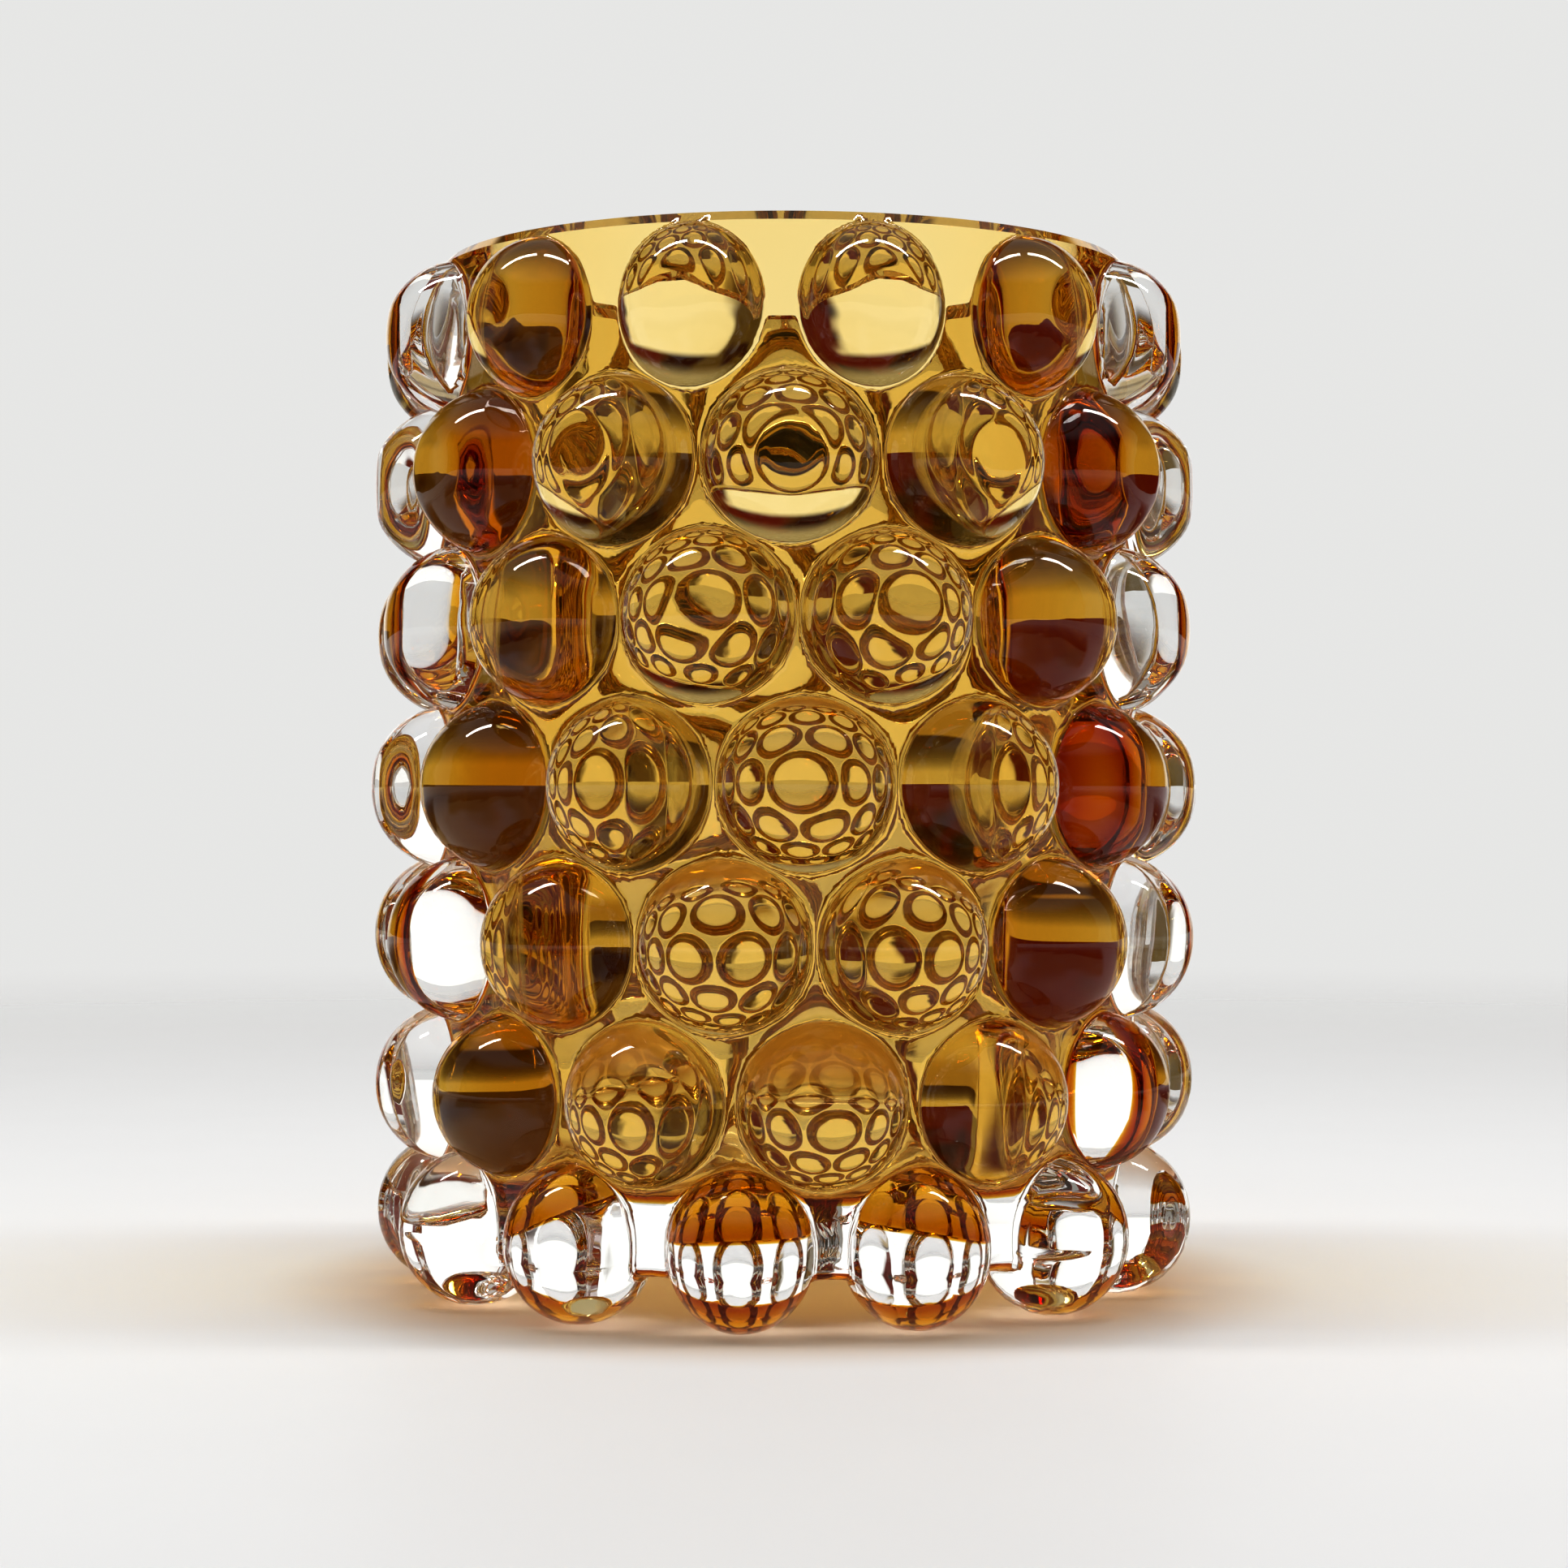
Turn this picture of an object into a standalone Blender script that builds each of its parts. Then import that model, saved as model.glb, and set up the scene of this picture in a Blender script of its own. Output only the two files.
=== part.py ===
"""Hobnail glass vase: an amber glass well cased in thick clear glass, with seven rows of clear
glass knobs around it. Metres, +Z up. The origin is on the surface that the vase stands on,
under the vase's axis.
"""

import math

import bmesh
import bpy
from mathutils import Matrix, Vector

# ---------------------------------------------------------------- driving dimensions
HEIGHT = 0.1460            # from the table to the rim
WALL_RADIUS = 0.0500       # the clear casing's outside, between the knobs
WELL_INNER_RADIUS = 0.0425 # the opening that flowers or a candle go into
AMBER_THICKNESS = 0.0012   # the coloured layer that lines the casing
GAP = 0.0003               # clearance kept between neighbouring solids

UNDERSIDE_HEIGHT = 0.0069  # the casing's flat underside stands clear of the table
AMBER_BOTTOM_HEIGHT = 0.0156
WELL_CORNER_RADIUS = 0.0030
RIM_BEVEL = 0.0013
BASE_BEVEL = 0.0015

KNOBS_PER_ROW = 13
KNOB_CIRCLE_RADIUS = 0.0480   # the circle that the knobs' centres lie on
TWIST_PER_ROW = math.radians(1.27)
BOTTOM_ROW_TURN = math.radians(7.2)
ROW_HEIGHTS = (0.0107, 0.0296, 0.0503, 0.0714, 0.0934, 0.1141, 0.1339)
KNOB_RADII = (0.0109, 0.0111, 0.0116, 0.0116, 0.0116, 0.0115, 0.0109)
KNOB_HALF_WIDTHS = (0.0098, 0.0111, 0.0116, 0.0116, 0.0116, 0.0115, 0.0098)

NECK_HEIGHT = 0.0050       # the low ridge of glass that runs from knob to knob in a row
NECK_THICKNESS = 0.0010

TURNED_STEPS = 4 * KNOBS_PER_ROW
CORNER_STEPS = 3
KNOB_SEGMENTS = 12
KNOB_RINGS = 8

# ---------------------------------------------------------------- worked out from them
AMBER_OUTER_RADIUS = WELL_INNER_RADIUS + AMBER_THICKNESS
CASING_INNER_RADIUS = AMBER_OUTER_RADIUS + GAP
CASING_FLOOR_HEIGHT = AMBER_BOTTOM_HEIGHT - GAP
WELL_FLOOR_HEIGHT = AMBER_BOTTOM_HEIGHT + AMBER_THICKNESS
KNOB_PITCH = 2.0 * math.pi / KNOBS_PER_ROW
SEAT_RADIUS = WALL_RADIUS + GAP


def clear_scene():
    """Start from nothing."""
    for old in list(bpy.data.objects):
        bpy.data.objects.remove(old, do_unlink=True)


def glass(name, color, roughness, alpha):
    """A glass finish: colour, roughness and transparency."""
    material = bpy.data.materials.new(name)
    material.use_nodes = True
    shader = material.node_tree.nodes["Principled BSDF"]
    shader.inputs["Base Color"].default_value = (*color, 1.0)
    shader.inputs["Roughness"].default_value = roughness
    shader.inputs["Metallic"].default_value = 0.0
    shader.inputs["Transmission Weight"].default_value = 1.0
    shader.inputs["IOR"].default_value = 1.5
    material.diffuse_color = (*color, alpha)
    return material


def add_object(name, bm, material):
    """Turn a bmesh into a named object, shaded smooth except at its sharp edges."""
    bmesh.ops.recalc_face_normals(bm, faces=bm.faces)
    mesh = bpy.data.meshes.new(name)
    bm.to_mesh(mesh)
    bm.free()
    mesh.shade_smooth()
    mesh.set_sharp_from_angle(angle=math.radians(35.0))
    mesh.materials.append(material)
    piece = bpy.data.objects.new(name, mesh)
    bpy.context.scene.collection.objects.link(piece)
    return piece


def corner(centre_r, centre_z, radius, start, end):
    """Points of an arc in the turning plane, from one angle to another in degrees."""
    points = []
    for step in range(CORNER_STEPS + 1):
        angle = math.radians(start + (end - start) * step / CORNER_STEPS)
        points.append((centre_r + radius * math.cos(angle), centre_z + radius * math.sin(angle)))
    return points


def turned(name, profile, material):
    """A solid turned about the Z axis from a profile that starts and ends on that axis."""
    bm = bmesh.new()
    points = [bm.verts.new((radius, 0.0, height)) for radius, height in profile]
    edges = [bm.edges.new(pair) for pair in zip(points, points[1:])]
    bmesh.ops.spin(
        bm,
        geom=points + edges,
        cent=(0.0, 0.0, 0.0),
        axis=(0.0, 0.0, 1.0),
        angle=2.0 * math.pi,
        steps=TURNED_STEPS,
        use_merge=True,
    )
    bmesh.ops.remove_doubles(bm, verts=bm.verts, dist=1e-6)
    return add_object(name, bm, material)


def cup_profile(outer_radius, inner_radius, bottom, floor, outer_corner, inner_corner, bevel):
    """Outline of a cup: out along its underside, up its outside, over the rim, down inside."""
    outline = [(0.0, bottom)]
    outline += outer_corner
    outline += [(outer_radius, HEIGHT - bevel)]
    if bevel > 0.0:
        outline += [(outer_radius - bevel, HEIGHT)]
    outline += [(inner_radius, HEIGHT)]
    outline += inner_corner
    outline += [(0.0, floor)]
    return outline


def make_amber_well(material):
    """The coloured cup that lines the vase."""
    outer_r = WELL_CORNER_RADIUS + AMBER_THICKNESS
    centre_r = WELL_INNER_RADIUS - WELL_CORNER_RADIUS
    centre_z = WELL_FLOOR_HEIGHT + WELL_CORNER_RADIUS
    outside = corner(centre_r, centre_z, outer_r, -90.0, 0.0)
    inside = corner(centre_r, centre_z, WELL_CORNER_RADIUS, 0.0, -90.0)
    outline = cup_profile(
        AMBER_OUTER_RADIUS, WELL_INNER_RADIUS, AMBER_BOTTOM_HEIGHT, WELL_FLOOR_HEIGHT,
        outside, inside, 0.0,
    )
    return turned("amber_well", outline, material)


def make_clear_casing(material):
    """The thick clear glass around and under the amber, with a bevelled rim and foot."""
    centre_r = WELL_INNER_RADIUS - WELL_CORNER_RADIUS
    centre_z = WELL_FLOOR_HEIGHT + WELL_CORNER_RADIUS
    inner_r = CASING_INNER_RADIUS - centre_r
    outside = [
        (WALL_RADIUS - BASE_BEVEL, UNDERSIDE_HEIGHT),
        (WALL_RADIUS, UNDERSIDE_HEIGHT + BASE_BEVEL),
    ]
    inside = corner(centre_r, centre_z, inner_r, 0.0, -90.0)
    outline = cup_profile(
        WALL_RADIUS, CASING_INNER_RADIUS, UNDERSIDE_HEIGHT, CASING_FLOOR_HEIGHT,
        outside, inside, RIM_BEVEL,
    )
    return turned("clear_casing", outline, material)


def ring_blank(name, inner, outer, low, high):
    """A closed square-edged ring about the Z axis; an inner radius of 0 gives a solid disc."""
    bm = bmesh.new()
    outline = [(inner, low), (outer, low), (outer, high), (inner, high)]
    points = [bm.verts.new((radius, 0.0, height)) for radius, height in outline]
    pairs = list(zip(points, points[1:]))
    if inner > 0.0:
        pairs.append((points[-1], points[0]))
    edges = [bm.edges.new(pair) for pair in pairs]
    bmesh.ops.spin(
        bm,
        geom=points + edges,
        cent=(0.0, 0.0, 0.0),
        axis=(0.0, 0.0, 1.0),
        angle=2.0 * math.pi,
        steps=TURNED_STEPS,
        use_merge=True,
    )
    bmesh.ops.remove_doubles(bm, verts=bm.verts, dist=1e-6)
    bmesh.ops.recalc_face_normals(bm, faces=bm.faces)
    mesh = bpy.data.meshes.new(name)
    bm.to_mesh(mesh)
    bm.free()
    tool = bpy.data.objects.new(name, mesh)
    tool.hide_render = True
    tool.display_type = "WIRE"
    bpy.context.scene.collection.objects.link(tool)
    return tool


def combine(piece, operation, tool):
    """Keep a Boolean on the piece, with its exact solver."""
    step = piece.modifiers.new(operation.lower(), "BOOLEAN")
    step.operation = operation
    step.solver = "EXACT"
    step.object = tool
    return step


def knob_angle(row, index):
    """Where a knob stands around the axis; 0 is the front, and rows are staggered."""
    stagger = 0.5 if row % 2 == 0 else 0.0
    return BOTTOM_ROW_TURN - TWIST_PER_ROW * row + KNOB_PITCH * (index + stagger)


def make_knob_row(row, casing_cutter, table_cutter, material):
    """Thirteen clear balls around the casing, joined by the low ridge that they grow from.
    Those of the bottom and the top row are narrower than they are tall."""
    height = ROW_HEIGHTS[row]
    radius = KNOB_RADII[row]
    across = Matrix.Diagonal((KNOB_HALF_WIDTHS[row] / radius, 1.0, 1.0, 1.0))
    bm = bmesh.new()
    for index in range(KNOBS_PER_ROW):
        angle = knob_angle(row, index)
        outward = Vector((math.sin(angle), -math.cos(angle), 0.0))
        centre = outward * KNOB_CIRCLE_RADIUS + Vector((0.0, 0.0, height))
        turn = outward.to_track_quat("Z", "Y").to_matrix().to_4x4()
        bmesh.ops.create_uvsphere(
            bm,
            u_segments=KNOB_SEGMENTS,
            v_segments=KNOB_RINGS,
            radius=radius,
            matrix=Matrix.Translation(centre) @ turn @ across,
        )
    piece = add_object(f"knob_row_{row + 1}", bm, material)
    combine(piece, "DIFFERENCE", casing_cutter)
    if row == 0:
        combine(piece, "DIFFERENCE", table_cutter)
    neck = ring_blank(
        f"neck_{row + 1}", SEAT_RADIUS, SEAT_RADIUS + NECK_THICKNESS,
        height - NECK_HEIGHT / 2.0, height + NECK_HEIGHT / 2.0,
    )
    combine(piece, "UNION", neck)
    return piece


def main():
    clear_scene()
    amber = glass("amber_glass", (0.72, 0.36, 0.05), 0.02, 0.8)
    clear = glass("clear_glass", (0.96, 0.97, 0.96), 0.02, 0.4)
    make_amber_well(amber)
    make_clear_casing(clear)
    casing_cutter = ring_blank(
        "casing_space", 0.0, SEAT_RADIUS, UNDERSIDE_HEIGHT - GAP, HEIGHT + 0.01,
    )
    table_cutter = ring_blank("table_space", 0.0, 2.0 * WALL_RADIUS, -0.01, 0.0)
    for row in range(len(ROW_HEIGHTS)):
        make_knob_row(row, casing_cutter, table_cutter, clear)


main()
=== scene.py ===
# %% [markdown]
# # A hobnail glass vase
#
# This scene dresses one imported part: a thick tumbler vase of clear glass with a
# lining of amber glass and seven staggered rows of round glass knobs. The frame
# gives the sizes, and the cells below make the two bodies of glass that show, the
# table that the vase stands on, its lights and its camera.

# %% Load the frame
import math

import bmesh
import bpy
import numpy as np
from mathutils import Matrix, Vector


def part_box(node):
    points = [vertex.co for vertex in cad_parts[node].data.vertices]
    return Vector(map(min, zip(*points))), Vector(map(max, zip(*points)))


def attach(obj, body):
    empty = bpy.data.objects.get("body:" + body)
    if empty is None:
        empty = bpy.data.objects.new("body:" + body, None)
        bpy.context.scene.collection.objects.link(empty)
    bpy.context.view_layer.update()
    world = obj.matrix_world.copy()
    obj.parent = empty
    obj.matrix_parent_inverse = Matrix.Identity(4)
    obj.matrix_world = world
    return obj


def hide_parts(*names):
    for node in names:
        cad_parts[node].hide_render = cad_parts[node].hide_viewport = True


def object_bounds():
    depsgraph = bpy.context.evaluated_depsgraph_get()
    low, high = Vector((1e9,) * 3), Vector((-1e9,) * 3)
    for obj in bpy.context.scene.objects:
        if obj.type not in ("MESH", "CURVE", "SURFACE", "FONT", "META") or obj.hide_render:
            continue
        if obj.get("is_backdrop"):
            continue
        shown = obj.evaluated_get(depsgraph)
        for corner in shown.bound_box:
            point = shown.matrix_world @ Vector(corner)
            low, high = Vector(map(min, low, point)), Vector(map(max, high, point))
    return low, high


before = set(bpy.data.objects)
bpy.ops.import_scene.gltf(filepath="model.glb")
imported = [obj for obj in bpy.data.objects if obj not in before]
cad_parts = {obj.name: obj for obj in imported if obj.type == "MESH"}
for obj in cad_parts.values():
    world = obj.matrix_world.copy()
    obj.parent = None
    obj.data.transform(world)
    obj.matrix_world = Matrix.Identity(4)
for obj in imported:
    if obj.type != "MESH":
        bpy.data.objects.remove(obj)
cad_low, cad_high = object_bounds()
print("frame", sorted(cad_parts), "box", tuple(cad_low), tuple(cad_high))

# %% [markdown]
# ## Sizes
#
# The frame could be copied shape by shape, but glass this clear shows every facet,
# so the visible glass is made again as smooth skin. What can be read from the
# frame's nodes is read from them. The rows of knobs are set out by the same few
# measures as in the part: thirteen knobs to a row, each row half a place round from
# the next, and a slight twist that makes the columns lean.

# %% Sizes
MM = 0.001
CASING_LOW, CASING_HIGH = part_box("clear_casing")
AMBER_LOW, AMBER_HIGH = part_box("amber_well")

RIM_HEIGHT = CASING_HIGH.z
UNDERSIDE = CASING_LOW.z
WALL_RADIUS = round(CASING_HIGH.x, 4)
AMBER_UNDERSIDE = AMBER_LOW.z
AMBER_THICKNESS = 1.2 * MM
WELL_RADIUS = round(AMBER_HIGH.x, 4) - AMBER_THICKNESS
WELL_CORNER = 3.0 * MM
RIM_BEVEL = 1.3 * MM
BASE_BEVEL = 1.5 * MM

KNOBS_PER_ROW = 13
PLACE = 2 * math.pi / KNOBS_PER_ROW
BOTTOM_ROW_TURN = math.radians(7.2)
TWIST_PER_ROW = math.radians(1.27)
KNOB_CIRCLE_RADIUS = 48.0 * MM
ROW_HEIGHTS = [h * MM for h in (10.7, 29.6, 50.3, 71.4, 93.4, 114.1, 133.9)]
KNOB_RADII = [r * MM for r in (10.9, 11.1, 11.6, 11.6, 11.6, 11.5, 10.9)]
KNOB_HALF_WIDTHS = [w * MM for w in (9.8, 11.1, 11.6, 11.6, 11.6, 11.5, 9.8)]
ROWS = range(len(ROW_HEIGHTS))
KNOB_NODES = [f"knob_row_{row + 1}" for row in ROWS]

print(f"wall {WALL_RADIUS / MM:.1f} mm, well {WELL_RADIUS / MM:.1f} mm, rim {RIM_HEIGHT / MM:.1f} mm")


# %% [markdown]
# ## Where the knobs sit
#
# A gaffer presses the soft glass into a mould with round pockets, so every knob is
# a ball sunk into the wall. `casing_gap` says how far a point is outside the plain
# wall, and `skin_gap` melts the balls into it: the soft minimum of all the distances
# leaves the small hollow fillet that fire-polishing gives. The knobs' tips are domes a
# little flatter than the balls, most of all near the top, and the bottom ones are
# ground flat where they meet the table.

# %% Knob places and the melted skin
FILLET = 0.14 * MM
CAP_RADII = [r * MM for r in (11.5, 12.5, 13.0, 14.6, 17.0, 34.0, 20.0)]
CAP_REACH = 5.0 * MM
CAP_BLEND = 0.06 * MM
WALK_SHARE = 0.8
SHORTEST_STEP = 0.06 * MM
MOST_STEPS = 400
HALVINGS = 30


def knob_turn(row, place=0):
    half = 0.5 if row % 2 == 0 else 0.0
    return BOTTOM_ROW_TURN - TWIST_PER_ROW * row + PLACE * (place + half)


def on_wall(turn, radius, height):
    return np.array([radius * math.sin(turn), -radius * math.cos(turn), height])


def knob_middle(row, place=0):
    return on_wall(knob_turn(row, place), KNOB_CIRCLE_RADIUS, ROW_HEIGHTS[row])


def knobs_near(row):
    rows = [r for r in (row - 1, row, row + 1) if r in ROWS]
    return [(r, knob_middle(r, place), on_wall(knob_turn(r, place), 1.0, 0.0))
            for r in rows for place in range(-2, 3)]


def knob_gap(points, row, middle, outward):
    """Distance to a ball drawn narrower or wider, whose tip is pressed to a flatter dome."""
    radius, cap = KNOB_RADII[row], CAP_RADII[row]
    sideways = np.array([-outward[1], outward[0], 0.0])
    way = points - middle
    stretch = radius / KNOB_HALF_WIDTHS[row] - 1
    way = way + (way @ sideways)[..., None] * stretch * sideways
    ball = np.linalg.norm(way, axis=-1) - radius
    pressed = (1 / radius - 1 / cap) * CAP_REACH ** 2 / 2
    dome = np.linalg.norm(way - outward * (radius - pressed - cap), axis=-1) - cap
    farther = np.maximum(ball, dome)
    blend = np.exp((ball - farther) / CAP_BLEND) + np.exp((dome - farther) / CAP_BLEND)
    return farther + CAP_BLEND * np.log(blend)


def casing_gap(points):
    out = np.hypot(points[..., 0], points[..., 1]) - WALL_RADIUS + BASE_BEVEL
    down = UNDERSIDE - points[..., 2] + BASE_BEVEL
    corner = np.hypot(np.maximum(out, 0), np.maximum(down, 0))
    return np.minimum(np.maximum(out, down), 0) + corner - BASE_BEVEL


def skin_gap(points, near):
    gaps = [casing_gap(points)]
    gaps += [knob_gap(points, *knob) for knob in near]
    gaps = np.stack(gaps)
    nearest = gaps.min(axis=0)
    melted = nearest - FILLET * np.log(np.exp(-(gaps - nearest) / FILLET).sum(axis=0))
    return np.maximum(melted, -points[..., 2])


def walk_to_skin(starts, directions, near, first=0.0):
    """Walks out along each ray from inside the glass and stops on its skin."""
    inside = np.full(len(starts), float(first))
    outside = np.full(len(starts), np.nan)
    way = inside.copy()
    for _ in range(MOST_STEPS):
        gap = skin_gap(starts + directions * way[:, None], near)
        walking = np.isnan(outside)
        outside[walking & (gap >= 0)] = way[walking & (gap >= 0)]
        still_in = walking & (gap < 0)
        inside[still_in] = way[still_in]
        if not still_in.any():
            break
        way = np.where(still_in, way + np.maximum(-gap * WALK_SHARE, SHORTEST_STEP), way)
    for _ in range(HALVINGS):
        way = (inside + outside) / 2
        in_glass = skin_gap(starts + directions * way[:, None], near) < 0
        inside = np.where(in_glass, way, inside)
        outside = np.where(in_glass, outside, way)
    return starts + directions * way[:, None]


print("knob spacing along the wall", round(PLACE * WALL_RADIUS / MM, 2), "mm")


# %% [markdown]
# ## One patch of skin for each knob
#
# A grid laid straight on the wall would cut the knobs anywhere, and light bent by a
# badly cut knob shows every crooked edge. Instead the unrolled wall is shared out:
# each knob gets the patch that is nearer to it than to its neighbours, the way soap
# bubbles share a plate, and rings of faces spread from the knob's tip to the edge of
# its patch. Only one column of seven patches is made, because the rest repeat it.

# %% Outline of a knob's patch on the unrolled wall
PATCH_LOW = UNDERSIDE + BASE_BEVEL
PATCH_HIGH = RIM_HEIGHT - RIM_BEVEL
EDGE_STEP = 1.75 * MM
RIM_STEPS = 24
PATCH_REACH = 3
FOOT_STEPS = 12
FOOT_RADIUS = 31.0 * MM


def keep_nearer(outline, here, there, lead):
    """Cuts away the part of the outline that is nearer to the knob there than here."""
    def share(p):
        return math.dist(p, there) ** 2 - math.dist(p, here) ** 2 + lead

    kept = []
    for a, b in zip(outline, outline[1:] + outline[:1]):
        at_a, at_b = share(a), share(b)
        if at_a >= 0:
            kept.append(a)
        if (at_a >= 0) != (at_b >= 0):
            t = at_a / (at_a - at_b)
            kept.append((a[0] + (b[0] - a[0]) * t, a[1] + (b[1] - a[1]) * t))
    return kept


def patch_corners(row):
    here = (WALL_RADIUS * knob_turn(row), ROW_HEIGHTS[row])
    reach = PATCH_REACH * PLACE * WALL_RADIUS
    left, right = here[0] - reach, here[0] + reach
    outline = [(left, PATCH_LOW), (right, PATCH_LOW), (right, PATCH_HIGH), (left, PATCH_HIGH)]
    for other in (r for r in (row - 1, row, row + 1) if r in ROWS):
        for place in (p for p in range(-2, 3) if (other, p) != (row, 0)):
            there = (WALL_RADIUS * knob_turn(other, place), ROW_HEIGHTS[other])
            lead = KNOB_RADII[row] ** 2 - KNOB_RADII[other] ** 2
            outline = keep_nearer(outline, here, there, lead)
    return outline


def patch_edge(row):
    """Points round the patch as (turn, radius, height, how far the edge faces out, and down)."""
    corners = patch_corners(row)
    edge = []
    for a, b in zip(corners, corners[1:] + corners[:1]):
        steps = max(2, round(math.dist(a, b) / EDGE_STEP))
        if min(a[1], b[1]) > PATCH_HIGH - 1e-9:
            steps = RIM_STEPS
        if max(a[1], b[1]) < PATCH_LOW + 1e-9:
            edge += foot_edge(a[0] / WALL_RADIUS, b[0] / WALL_RADIUS)
            continue
        for step in range(steps):
            across, height = (a[i] + (b[i] - a[i]) * step / steps for i in (0, 1))
            edge.append((across / WALL_RADIUS, WALL_RADIUS, height, 1.0, 0.0))
    return edge


def foot_edge(start, end):
    """The bottom patch reaches round the base's corner and a little way under the vase."""
    flat = WALL_RADIUS - BASE_BEVEL
    corner = BASE_BEVEL * math.pi / 2
    side = []
    for step in range(FOOT_STEPS + 1):
        way = (corner + flat - FOOT_RADIUS) * step / FOOT_STEPS
        lean = min(way / BASE_BEVEL, math.pi / 2)
        radius = flat + BASE_BEVEL * math.cos(lean) - max(way - corner, 0.0)
        height = PATCH_LOW - BASE_BEVEL * math.sin(lean)
        side.append((radius, height, math.cos(lean), math.sin(lean)))
    turns = [start + (end - start) * k / FOOT_STEPS for k in range(FOOT_STEPS + 1)]
    down = [(start, *point) for point in side]
    across = [(turn, *side[-1]) for turn in turns[1:]]
    up = [(end, *point) for point in side[-2:0:-1]]
    return down + across + up


print("edge points of the patches", [len(patch_edge(row)) for row in ROWS])


# %% [markdown]
# Every spoke of a patch starts from one point deep in the knob and fans out from the
# tip of the knob to the patch's edge. The rings are close together where the ball
# leaves the wall, because that crease draws the dark outline round each knob.

# %% Rings of a knob's patch
DOME_RINGS = 12
CREASE_RINGS = 7
CREASE_MARGIN = math.radians(3.0)
CREASE_SPREAD = 1.2
LEAST_DOME, MOST_DOME = 0.8, 0.9
ROOT_DEPTH = 9.0 * MM
FOOT_TILT = math.radians(25)
FOOT_ROOT_DEPTH = 4.0 * MM
FOOT_ROOT_LIFT = 2.0 * MM
START_DEPTH = 0.2 * MM


def spoke_fan(row, edge_points):
    """The inner point, the tip's direction, and each spoke's sideways direction and angle."""
    outward = on_wall(knob_turn(row), 1.0, 0.0)
    up = np.array([0.0, 0.0, 1.0])
    if row == 0:
        tip = outward * math.cos(FOOT_TILT) - up * math.sin(FOOT_TILT)
        root = outward * (KNOB_CIRCLE_RADIUS - FOOT_ROOT_DEPTH)
        root = root + up * (ROW_HEIGHTS[0] + FOOT_ROOT_LIFT)
    else:
        tip = outward
        root = outward * (KNOB_CIRCLE_RADIUS - ROOT_DEPTH) + up * ROW_HEIGHTS[row]
    rays = edge_points - root
    rays /= np.linalg.norm(rays, axis=1)[:, None]
    sideways = rays - (rays @ tip)[:, None] * tip
    sideways /= np.linalg.norm(sideways, axis=1)[:, None]
    return root, tip, sideways, np.arccos(np.clip(rays @ tip, -1, 1))


def fan_direction(tip, sideways, angle):
    return tip * np.cos(angle)[:, None] + sideways * np.sin(angle)[:, None]


def crease_angle(row, root, tip, sideways, widest):
    """Where each spoke passes from the ball to the plain wall."""
    middle, radius = knob_middle(row), KNOB_RADII[row]
    low, high = np.zeros(len(widest)), widest.copy()
    for _ in range(HALVINGS):
        angle = (low + high) / 2
        ray = fan_direction(tip, sideways, angle)
        along = ray @ (root - middle)
        reach = -along + np.sqrt(along ** 2 - ((root - middle) ** 2).sum() + radius ** 2)
        on_ball = casing_gap(root + ray * reach[:, None]) > 0
        low = np.where(on_ball, angle, low)
        high = np.where(on_ball, high, angle)
    return (low + high) / 2


def knob_patch(bm, row):
    edge = patch_edge(row)
    near = knobs_near(row)
    starts = np.array([on_wall(turn, radius, height) for turn, radius, height, _, _ in edge])
    facing = np.array([on_wall(turn, out, -down) for turn, _, _, out, down in edge])
    rim = walk_to_skin(starts, facing, near, first=-START_DEPTH)
    root, tip, sideways, widest = spoke_fan(row, rim)
    crease = crease_angle(row, root, tip, sideways, widest)
    dome_end = np.maximum(crease - CREASE_MARGIN, crease * LEAST_DOME)
    dome_end = np.minimum(dome_end, widest * MOST_DOME)
    angles = [dome_end * k / DOME_RINGS for k in range(1, DOME_RINGS + 1)]
    shares = [(k / CREASE_RINGS) ** CREASE_SPREAD for k in range(1, CREASE_RINGS)]
    angles += [dome_end + (widest - dome_end) * share for share in shares]
    roots = np.repeat(root[None], len(edge), 0)
    rings = [walk_to_skin(roots, fan_direction(tip, sideways, a), near) for a in angles] + [rim]
    top = bm.verts.new(walk_to_skin(root[None], tip[None], near)[0])
    last = None
    for ring in rings:
        verts = [bm.verts.new(point) for point in ring]
        for k, vert in enumerate(verts):
            after = (k + 1) % len(verts)
            if last is None:
                bm.faces.new((top, vert, verts[after]))
            else:
                bm.faces.new((last[k], vert, verts[after], last[after]))
        last = verts
    return edge, rim


# %% [markdown]
# ## The column of glass that repeats
#
# The seven patches are the outside. One wedge of the rim, the well's wall and floor
# and the hollow underside closes the column, so that thirteen copies of it make one
# sound body of glass. It has to be one body: the knobs are fused to the wall, and a
# hidden face between them would bend the light a second time.

# %% Column of clear glass
WELL_STEPS = 24
ARC_STEPS = 6
FLOOR_STEPS = 6
HOLD = 0.3 * MM
WELD = 0.002 * MM
NO_HEIGHT = 1e-9


def turned_wedge(bm, turns, profile):
    """Skin over a profile of (radius, height) points, with one radius or one for each turn."""
    last = None
    for radius, height in profile:
        radii = radius if isinstance(radius, list) else [radius] * len(turns)
        verts = [bm.verts.new(on_wall(turn, r, height)) for turn, r in zip(turns, radii)]
        if last:
            for k in range(len(verts) - 1):
                bm.faces.new((last[k], verts[k], verts[k + 1], last[k + 1]))
        last = verts


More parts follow.
